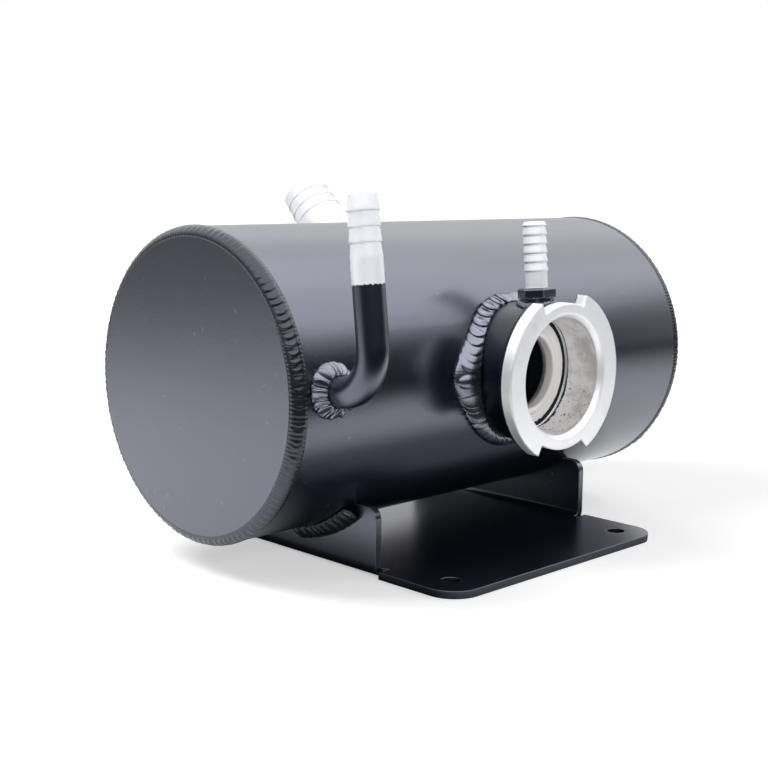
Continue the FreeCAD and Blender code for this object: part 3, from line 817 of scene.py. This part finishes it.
@dataclass
class PipeBead:
    """A small bead round a pipe that stands on a hull.

    The rises of its core and ripples are shares of its rise, and how thick they are of its pitch.
    """

    node: str
    foot: Vector
    axis: Vector
    hull: Hull
    radius: float
    leg: float
    pitch: float
    rise: float
    seed: int
    voxel: float
    core_count: int = 72
    core_rise: float = 0.45
    core_thick: float = 0.6
    fewest: int = 8
    wander: float = 0.25
    ripple_rise: tuple = (0.85, 1.05)
    ripple_thick: float = 0.3
    ripple_lean: tuple = (54, 62)

    def at(self, angle: float, form: Form) -> Ripple:
        """One ripple round the pipe.

        Args:
            angle: The angle at which it is, in radians.
            form: Its form.

        Returns:
            The ripple.
        """
        side = self.hull.axis.cross(self.axis).normalized()
        front = self.axis.cross(side).normalized()
        way = front * math.cos(angle) + side * math.sin(angle)
        travel = side * math.cos(angle) - front * math.sin(angle)
        corner = self.hull.reached(self.foot + way * self.radius, self.axis)
        first = self.hull.reached(self.foot + way * (self.radius + self.leg), self.axis) - corner
        return fillet_ripple(corner, first, self.axis * self.leg, travel, form)

    def core(self) -> list:
        """The smooth core round the pipe's foot."""
        form = Form(self.rise * self.core_rise, self.pitch * self.core_thick)
        return [self.at(angle, form) for angle in turns(self.core_count)]

    def ripples(self) -> list:
        """The ripples round the pipe's foot.

        Returns:
            The ripples, spread over a full turn.
        """
        rng = random.Random(self.seed)
        count = max(self.fewest, round(math.tau * (self.radius + self.leg * 0.5) / self.pitch))
        made = []
        for number in range(count):
            angle = math.tau * (number + rng.uniform(-self.wander, self.wander)) / count
            rise = self.rise * rng.uniform(*self.ripple_rise)
            lean = math.radians(rng.uniform(*self.ripple_lean))
            made.append(self.at(angle, Form(rise, self.pitch * self.ripple_thick, lean)))
        return made

    def build(self, finish: Material) -> Object:
        """Build the bead."""
        return Bead(self.node, self.ripples(), self.core(), self.voxel).build(finish)


@dataclass
class Tank:
    """The tube, its end plates and the beads round them, in metres."""

    radius: float = 50.0 * MM
    coat_depth: float = 0.2 * MM
    axis_z: float = 60.6 * MM
    left: float = -94.0 * MM
    right: float = 104.0 * MM
    middle_x: float = 5.0 * MM
    corner_leg: float = 5.2 * MM
    corner_cover: float = 3.8 * MM
    corner_half: float = 2.95 * MM
    core_count: int = 240
    core_rise: float = 1.9 * MM
    core_thick: float = 1.6 * MM
    ripple_pitch: float = 2.6 * MM
    ripple_rise: float = 1.84 * MM
    ripple_thick: float = 0.75 * MM
    ripple_spread: float = 0.92
    ripple_lean: tuple = (54, 61)
    relief_mm: tuple = (0.25, 0.43)
    peaks: tuple = ((34.0, 16.0, 1.0), (-80.0, 26.0, 0.7), (-160.0, 50.0, 0.4))
    right_turn: float = 90.0
    wander: float = 0.15
    seed: int = 11

    def hull(self) -> Hull:
        """The tube's outside."""
        return Hull(ALONG, Vector((0.0, 0.0, self.axis_z)), self.radius)

    def on_tube(self, x: float, angle: float, reach: float) -> Vector:
        """A point at an angle above the front, at a distance from the tube's axis."""
        return Vector((x, -reach * math.cos(angle), self.axis_z + reach * math.sin(angle)))

    def end_relief(self, angle: float) -> float:
        """How far the ripples stand out at an angle above the front.

        Args:
            angle: The angle in degrees.

        Returns:
            The share of the full relief, highest at the peaks.
        """
        strong = 0.0
        for middle, width, share in self.peaks:
            away = (angle - middle + 180.0) % 360.0 - 180.0
            strong += share * math.exp(-(away / width) ** 2)
        return min(strong, 1.0)

    def end_at(self, side: Side, angle: float, form: Form) -> Ripple:
        """One ripple of the bead round an end.

        Args:
            side: Which end.
            angle: The angle above the front, in radians.
            form: Its form.

        Returns:
            The ripple.
        """
        face = self.left if side is Side.LEFT else self.right
        radial = self.on_tube(0.0, angle, 1.0) - Vector((0.0, 0.0, self.axis_z))
        travel = Vector((0.0, radial.z, -radial.y)) * side.value
        on_face = self.on_tube(face, angle, self.radius - self.corner_cover)
        on_side = self.on_tube(face - side.value * self.corner_leg, angle, self.radius)
        across = (on_face - on_side).normalized()
        out = travel.cross(across).normalized()
        if out.dot(radial) < 0:
            out, across = -out, -across
        return Ripple((on_face + on_side) * 0.5, travel.normalized(), across, out,
                      self.corner_half * form.spread, form.rise / math.cos(form.lean), form.thick, form.lean)

    def end_core(self, side: Side) -> list:
        """The smooth core of the bead round an end."""
        form = Form(self.core_rise, self.core_thick)
        return [self.end_at(side, angle, form) for angle in turns(self.core_count)]

    def end_ripples(self, side: Side) -> list:
        """The ripples round one end.

        Args:
            side: Which end.

        Returns:
            The ripples, spread over a full turn.
        """
        rng = random.Random(self.seed + side.value)
        count = round(math.tau * self.radius / self.ripple_pitch)
        turned = self.right_turn if side is Side.RIGHT else 0.0
        made = []
        for number in range(count):
            angle = math.tau * (number + rng.uniform(-self.wander, self.wander)) / count
            relief = self.end_relief(math.degrees(angle) + turned) * rng.uniform(*self.relief_mm)
            form = Form(self.ripple_rise + relief * MM, self.ripple_thick,
                        math.radians(rng.uniform(*self.ripple_lean)), self.ripple_spread)
            made.append(self.end_at(side, angle, form))
        return made

    def build(self, coats: Coats) -> None:
        """Dress the tube and the plates and build the beads round the ends.

        Args:
            coats: The shared coats.
        """
        dress(("tank_tube",), PowderCoat("tube_coat", bare_within=self.radius - self.coat_depth,
                                         axis_z=self.axis_z).material())
        dress(("end_plate_left", "end_plate_right"), coats.plain)
        for side in Side:
            bead = Bead("end_weld_" + side.name.lower(), self.end_ripples(side), self.end_core(side))
            bead.build(coats.shaded_bead)


@dataclass
class Neck:
    """The filler neck and the bead round its foot."""

    tank: Tank
    radius: float = 23.0 * MM
    rise: float = 1.6 * MM
    coat_to: float = 66.1 * MM
    coat_outside: float = 22.6 * MM
    bead_side: float = 9.6 * MM
    bead_top: float = 2.4 * MM
    bead_rise: float = 3.8 * MM
    full_width: float = 9.0 * MM
    rise_shares: tuple = (0.45, 0.55)
    core_count: int = 240
    core_rise: float = 0.95 * MM
    core_thick: float = 1.5 * MM
    core_spread: float = 0.97
    pitch: float = 2.9 * MM
    bead_middle: float = 4.0 * MM
    step_range: tuple = (0.6, 1.2)
    ripple_thick: float = 0.85 * MM
    ripple_spread: float = 1.02
    ripple_lean: tuple = (58, 63)
    seen: tuple = (98.0, 106.0, 115.0, 124.0, 134.0, 143.0, 150.0, 156.0, 161.5, 167.0, 192.0, 198.5, 205.0)
    tall_from: int = 2
    tall_rise: float = 2.3 * MM
    low_rise_mm: tuple = (1.75, 1.9)
    top: float = 92.0
    bottom: float = 266.0
    puddle_at: float = 182.0
    puddle: Form = Form(1.8 * MM, 2.6 * MM, spread=0.8)
    seed: int = 5

    def hull(self) -> Hull:
        """The neck's outside."""
        return Hull(BACKWARD, Vector((self.tank.middle_x, 0.0, self.tank.axis_z + self.rise)), self.radius)

    def bead_core(self) -> list:
        """The smooth core round the neck's foot."""
        form = Form(self.core_rise, self.core_thick, spread=self.core_spread)
        return [self.ripple_at(angle, form) for angle in turns(self.core_count)]

    def bead_ripples(self) -> list:
        """The ripples round the neck's foot, which all face down.

        Returns:
            The ripples of the left half, first those that the photograph shows, and of the right half.
        """
        rng = random.Random(self.seed)
        made = []
        for fall in (1, -1):
            steps = list(self.seen) if fall > 0 else []
            turn = self.seen[-1] if fall > 0 else self.top
            while turn < self.bottom:
                step = self.pitch * rng.uniform(*self.step_range)
                turn += math.degrees(step / (self.radius + self.bead_middle))
                steps.append(turn)
            for turn in steps:
                angle = math.radians(turn if fall > 0 else 180.0 - turn)
                tall = turn in self.seen[self.tall_from:] and fall > 0
                rise = self.tall_rise if tall else rng.uniform(*self.low_rise_mm) * MM
                lean = math.radians(rng.uniform(*self.ripple_lean)) * fall
                made.append(self.ripple_at(angle, Form(rise, self.ripple_thick, lean, self.ripple_spread)))
        return made

    def last_puddle(self) -> list:
        """The round puddle at which the bead was closed."""
        return [self.ripple_at(math.radians(self.puddle_at), self.puddle)]

    def ripple_at(self, angle: float, form: Form) -> Ripple:
        """One ripple round the neck.

        Args:
            angle: From the tank's right, turning up, in radians.
            form: Its form where the bead is widest.

        Returns:
            The ripple.
        """
        toe = self.bead_side * self.bead_top / math.hypot(
            self.bead_top * math.cos(angle), self.bead_side * math.sin(angle))
        corner = self.saddle(angle, self.radius)
        first = self.saddle(angle, self.radius + toe) - corner
        second = Vector((0.0, -self.bead_rise, 0.0))
        travel = Vector((-math.sin(angle), 0.0, math.cos(angle)))
        narrow, wide = self.rise_shares
        share = narrow + wide * min(1.0, (first - second).length / self.full_width)
        return fillet_ripple(corner, first, second, travel, replace(form, rise=form.rise * share))

    def saddle(self, angle: float, reach: float) -> Vector:
        """A point of the tube.

        Args:
            angle: The angle round the neck, in radians.
            reach: The distance from the neck's axis.

        Returns:
            The point.
        """
        tank = self.tank
        up = self.rise + reach * math.sin(angle)
        return Vector((tank.middle_x + reach * math.cos(angle),
                       -math.sqrt(tank.radius ** 2 - up ** 2), tank.axis_z + up))

    def build(self, coats: Coats) -> None:
        """Dress the neck and build its bead.

        Args:
            coats: The shared coats.
        """
        # the level of 0.27 makes the neck reflect far less than the other coats: a shaded copy, standing in
        # for shade on the neck
        dress(("filler_neck",), NeckMetal(
            "turned_neck", tuple(self.hull().middle), -90.0, self.coat_to, self.coat_outside,
            colour=(0.93, 0.935, 0.955, 1.0), edge=1.3 * MM, level=0.27).material())
        Bead("neck_weld", self.bead_ripples() + self.last_puddle(), self.bead_core(),
             voxel=0.25 * MM).build(coats.lit_bead)


@dataclass
class BleedElbow:
    """The bent bleed pipe, coated up to its bare end, and the bead round its foot."""

    tank: Tank
    x: float = -80.0 * MM
    foot_z: float = 64.1 * MM
    reach: float = 66.0 * MM
    bare_from: float = 96.3 * MM
    lean: float = 6.6
    radius: float = 4.75 * MM

    def build(self, coats: Coats) -> None:
        """Dress the pipe and build its bead.

        Args:
            coats: The shared coats.
        """
        dress(("bleed_elbow",), TurnedAluminium(
            "bent_pipe", (self.x, -self.reach, self.bare_from), self.lean, ragged=1.6 * MM,
            metallic=0.15).material())
        PipeBead("bleed_elbow_weld", Vector((self.x, 0.0, self.foot_z)), -BACKWARD, self.tank.hull(),
                 self.radius, leg=3.75 * MM, pitch=2.6 * MM, rise=1.1 * MM, seed=3,
                 voxel=0.2 * MM).build(coats.lit_bead)


@dataclass
class ReturnTail:
    """The return hose tail at the back, which leans back and up, and the bead round its foot."""

    tank: Tank
    lean: float = 45.0
    bare_from: float = 59.0 * MM
    coat_outside: float = 8.0 * MM
    radius: float = 9.5 * MM

    def build(self, coats: Coats) -> None:
        """Dress the tail and build its bead.

        Args:
            coats: The shared coats.
        """
        foot = Vector((self.tank.middle_x, 0.0, self.tank.axis_z))
        dress(("return_hose_tail",), TurnedAluminium(
            "turned_tail", tuple(foot), self.lean, self.bare_from, self.coat_outside, 1.4 * MM,
            metallic=0.15).material())
        PipeBead("return_tail_weld", foot, leaning_back(self.lean), self.tank.hull(), self.radius,
                 leg=4.5 * MM, pitch=2.6 * MM, rise=1.3 * MM, seed=4, voxel=0.3 * MM).build(coats.bead)


@dataclass
class Overflow:
    """The overflow boss on the neck, its bead and the spout in it."""

    neck: Neck
    y: float = -59.28 * MM
    lean: float = 4.8
    radius: float = 5.5 * MM
    spout_y: float = -57.1 * MM
    spout_z: float = 87.2 * MM
    spout_coat: float = 3.32 * MM

    def build(self, coats: Coats) -> None:
        """Dress the boss and the spout and build the boss's bead.

        Args:
            coats: The shared coats.
        """
        tank = self.neck.tank
        dress(("overflow_boss",), coats.plain)
        dress(("overflow_barb",), TurnedAluminium(
            "turned_spout", (tank.middle_x, self.spout_y, self.spout_z), self.lean, self.spout_coat,
            metallic=0.25, edge=0.7 * MM, edge_wear_and_highlight_share=0.35).material())
        PipeBead("overflow_boss_weld", Vector((tank.middle_x, self.y, tank.axis_z)), leaning_back(self.lean),
                 self.neck.hull(), self.radius, leg=1.4 * MM, pitch=1.5 * MM, rise=0.4 * MM, seed=6,
                 voxel=0.18 * MM).build(coats.bead)


@dataclass
class Bracket:
    """The mounting bracket and its beads."""

    tank: Tank
    half_width: float = 54.0 * MM
    leg: float = 4.7 * MM
    start: float = 51.0
    arc: float = 31.0
    core_count: int = 30
    core_rise: float = 0.7 * MM
    core_thick: float = 1.1 * MM
    pitch: float = 2.7 * MM
    ripple_rise: float = 1.2 * MM
    ripple_thick: float = 0.7 * MM
    ripple_lean: tuple = (50, 58)
    spread: float = 0.95
    wander: float = 0.2
    seed: int = 31

    def at(self, side: Side, front: bool, share: float, form: Form) -> Ripple:
        """One ripple of a bead.

        Args:
            side: Which flange.
            front: Whether it is the front bead.
            share: Its place along the bead, from 0 to 1.
            form: Its form.

        Returns:
            The ripple.
        """
        turn = -math.radians(self.start + self.arc * share)
        corner = self.tank.on_tube(side.value * self.half_width, turn if front else math.pi - turn,
                                   self.tank.radius)
        radial = (corner - Vector((corner.x, 0.0, self.tank.axis_z))).normalized()
        travel = Vector((0.0, radial.z, -radial.y))
        return fillet_ripple(corner, ALONG * side.value * self.leg, radial * self.leg, travel,
                             replace(form, spread=self.spread))

    def bead(self, side: Side, front: bool) -> Bead:
        """A flange's front or rear bead.

        Args:
            side: Which flange.
            front: Whether it is the front bead.

        Returns:
            The bead.
        """
        rng = random.Random(self.seed + side.value * 2 + front)
        steps = round(math.radians(self.arc) * self.tank.radius / self.pitch)
        smooth = Form(self.core_rise, self.core_thick)
        core = [self.at(side, front, (number + 0.5) / self.core_count, smooth)
                for number in range(self.core_count)]
        ripples = []
        for number in range(steps):
            share = (number + 0.5 + rng.uniform(-self.wander, self.wander)) / steps
            lean = math.radians(rng.uniform(*self.ripple_lean))
            ripples.append(self.at(side, front, share, Form(self.ripple_rise, self.ripple_thick, lean)))
        node = "bracket_weld_%s_%s" % (side.name.lower(), "front" if front else "rear")
        return Bead(node, ripples, core, voxel=0.22 * MM)

    def build(self, coats: Coats) -> None:
        """Dress the bracket and build its four beads.

        Args:
            coats: The shared coats.
        """
        dress(("mounting_bracket",), coats.plain)
        for side in Side:
            for front in (True, False):
                self.bead(side, front).build(coats.shaded_bead)


@dataclass
class Camera:
    """The camera, where the photograph was taken from."""

    place: tuple = (-0.3391, -0.3319, 0.1258)
    azimuth: float = -44.84
    elevation: float = 8.84
    roll: float = 0.63
    lens: float = 62.19
    nearest: float = 0.01

    def build(self) -> None:
        """Stand it there."""
        azimuth, elevation, roll = (math.radians(v) for v in (self.azimuth, self.elevation, self.roll))
        back = Vector((math.sin(azimuth) * math.cos(elevation), -math.cos(azimuth) * math.cos(elevation),
                       math.sin(elevation)))
        right = Vector((math.cos(azimuth), math.sin(azimuth), 0.0))
        up = back.cross(right)
        across = right * math.cos(roll) + up * math.sin(roll)
        above = up * math.cos(roll) - right * math.sin(roll)
        data = bpy.data.cameras.new("camera")
        data.lens = self.lens
        data.clip_start = self.nearest
        item = bpy.data.objects.new("camera", data)
        bpy.context.scene.collection.objects.link(item)
        turned = Matrix((across, above, back)).transposed().to_4x4()
        item.matrix_world = Matrix.Translation(self.place) @ turned
        bpy.context.scene.camera = item


@dataclass
class Floor:
    """The pale floor, on which the object's shadow falls.

    Mirrored rays see painted light and shadow on it: a painted shadow under and just in front of the tank,
    dark nearer to the camera than the edge of the painted light, and elsewhere white, fading with distance
    and towards the right.
    """

    size: float = 8.0
    middle_x: float = Tank.middle_x
    back_way: tuple = (0.41, 0.91)
    painted_light_edge: tuple = (-0.20, -0.12)
    under: tuple = (0.055, 0.12)
    before: tuple = (0.06, 0.115)
    fade: tuple = (0.15, 1.1)
    fade_share: float = 0.64
    right_fade: tuple = (0.14, 0.5)
    right_share: float = 0.5
    near: tuple = (0.2, 0.75)
    glow_near: float = 0.45
    glow_gain: float = 0.55
    matt: tuple = (0.8, 0.8, 0.8, 1.0)
    painted_shade_matt: tuple = (0.02, 0.02, 0.02, 1.0)

    def lit(self, shader: Shader, across: Signal, depth: Signal, away: Signal) -> Signal:
        """How bright mirrored rays see the floor: painted light, with a painted shadow under and just in
        front of the tank.

        Args:
            shader: The material.
            across: Place along the tank.
            depth: Place towards the back.
            away: Distance from the middle.

        Returns:
            The brightness, from 0 to 1.
        """
        # painted light: mirrored rays see the floor lit only beyond an edge, fading with distance and
        # towards the right
        painted_light_side = shader.ramp(across * self.back_way[0] + depth * self.back_way[1], *self.painted_light_edge)
        # painted shadow: dark under the tank and just in front of it
        beside = shader.ramp((across - self.middle_x).size(), *self.under)
        before = shader.ramp(depth * -1.0, *self.before)
        faded = 1.0 - shader.ramp(away, *self.fade) * self.fade_share
        right = 1.0 - shader.ramp(across, *self.right_fade) * self.right_share
        return painted_light_side * beside.at_least(before) * faded * right

    def material(self) -> Material:
        """Build the floor's finish.

        Returns:
            A matt white that glows for the camera and for mirrored rays.
        """
        shader = Shader("pale_floor")
        seen, mirrored = shader.rays()
        across, depth, _ = shader.parts(shader.place())
        away = across.with_leg(depth)
        lit = self.lit(shader, across, depth, away)
        far = shader.ramp(away, *self.near)
        # painted shade: mirrored rays see the matt dark where the painted light is missing
        colour = shader.blend(mirrored * (1.0 - lit), self.matt, self.painted_shade_matt)
        matt = shader.node("ShaderNodeBsdfDiffuse", None, {"Color": colour})
        strength = seen * (far * self.glow_gain + self.glow_near) + mirrored * lit
        glow = shader.node("ShaderNodeEmission", None, {"Color": WHITE, "Strength": strength})
        surface = shader.node("ShaderNodeAddShader", None, {0: matt, 1: glow})
        shader.node("ShaderNodeOutputMaterial", None, {"Surface": surface})
        return shader.owner

    def build(self) -> None:
        """Lay the floor."""
        deselect()
        bpy.ops.mesh.primitive_plane_add(size=self.size, location=(0.0, 0.0, 0.0))
        plane = bpy.context.active_object
        plane.name = "studio_floor"
        plane.data.materials.append(self.material())


@dataclass
class Room:
    """The room as mirrored rays see it: white behind the object, dark behind the camera, a soft dome.

    Each step is a direction and the cosines at which it is 0 and 1.
    """

    camera_side: tuple = ((-0.41, -0.91, 0.0), 0.0, 0.32)
    camera_dark: float = 0.96
    camera_dome: float = 1.6
    corner: tuple = ((-0.7, 0.71, 0.05), 0.8, 0.97)
    corner_dark: float = 0.6
    dome: tuple = ((0.0, 0.0, 1.0), 0.2, 0.62)
    side_panel: tuple = ((0.68, -0.35, 0.64), 0.93, 0.99)
    side_strength: float = 0.8
    top_panel: tuple = ((0.5, 0.0, 0.86), 0.94, 0.985)
    ambient: float = 0.2

    def build(self) -> None:
        """Light the room."""
        room = RoomShader("studio")
        seen, mirrored = room.rays()
        camera_side = room.toward(*self.camera_side)
        walls = (1.0 - camera_side * self.camera_dark) * (1.0 - room.toward(*self.corner) * self.corner_dark)
        dome = room.toward(*self.dome) * (camera_side * self.camera_dome + 1.0)
        panels = room.toward(*self.side_panel) * self.side_strength + room.toward(*self.top_panel)
        strength = seen + mirrored * (walls + dome + panels) + (1.0 - seen - mirrored) * self.ambient
        back = room.node("ShaderNodeBackground", None, {"Color": WHITE, "Strength": strength})
        room.node("ShaderNodeOutputWorld", None, {"Surface": back})
        bpy.context.scene.world = room.owner


@dataclass
class SoftBox:
    """A soft light. Reflections don't show it, because the room gives them their own panels."""

    name: str
    place: tuple
    size: tuple
    power: float
    aim: tuple = (0.0, 0.0, 0.06)

    def build(self) -> None:
        """Hang the light."""
        lamp = bpy.data.lights.new(self.name, "AREA")
        lamp.shape = "RECTANGLE"
        lamp.size, lamp.size_y = self.size
        lamp.energy = self.power
        item = bpy.data.objects.new(self.name, lamp)
        bpy.context.scene.collection.objects.link(item)
        item.visible_camera = False
        item.visible_glossy = False
        item.location = self.place
        item.rotation_euler = (Vector(self.aim) - Vector(self.place)).to_track_quat("-Z", "Y").to_euler()


LIGHTS = (
    SoftBox("key_box", (0.85, -0.41, 0.80), (0.9, 0.55), 3.6),
    SoftBox("front_box", (-0.42, -1.05, 0.42), (0.7, 0.45), 6.0),
    SoftBox("back_box", (0.86, 0.38, 0.78), (0.55, 0.5), 1.9),
    SoftBox("floor_box", (-0.36, 0.24, 0.55), (0.35, 0.35), 3.6, aim=(-0.2, 0.1, 0.0)),
)


def main() -> None:
    """Set up the studio and dress the tank, part by part."""
    logging.basicConfig(level=logging.INFO, format="%(message)s")
    bpy.context.scene.view_settings.view_transform = "Standard"
    for thing in (Camera(), Floor(), Room(), *LIGHTS):
        thing.build()
    coats = Coats()
    tank = Tank()
    neck = Neck(tank)
    for part in (tank, neck, BleedElbow(tank), ReturnTail(tank), Overflow(neck), Bracket(tank)):
        part.build(coats)


if __name__ == "__main__":
    main()
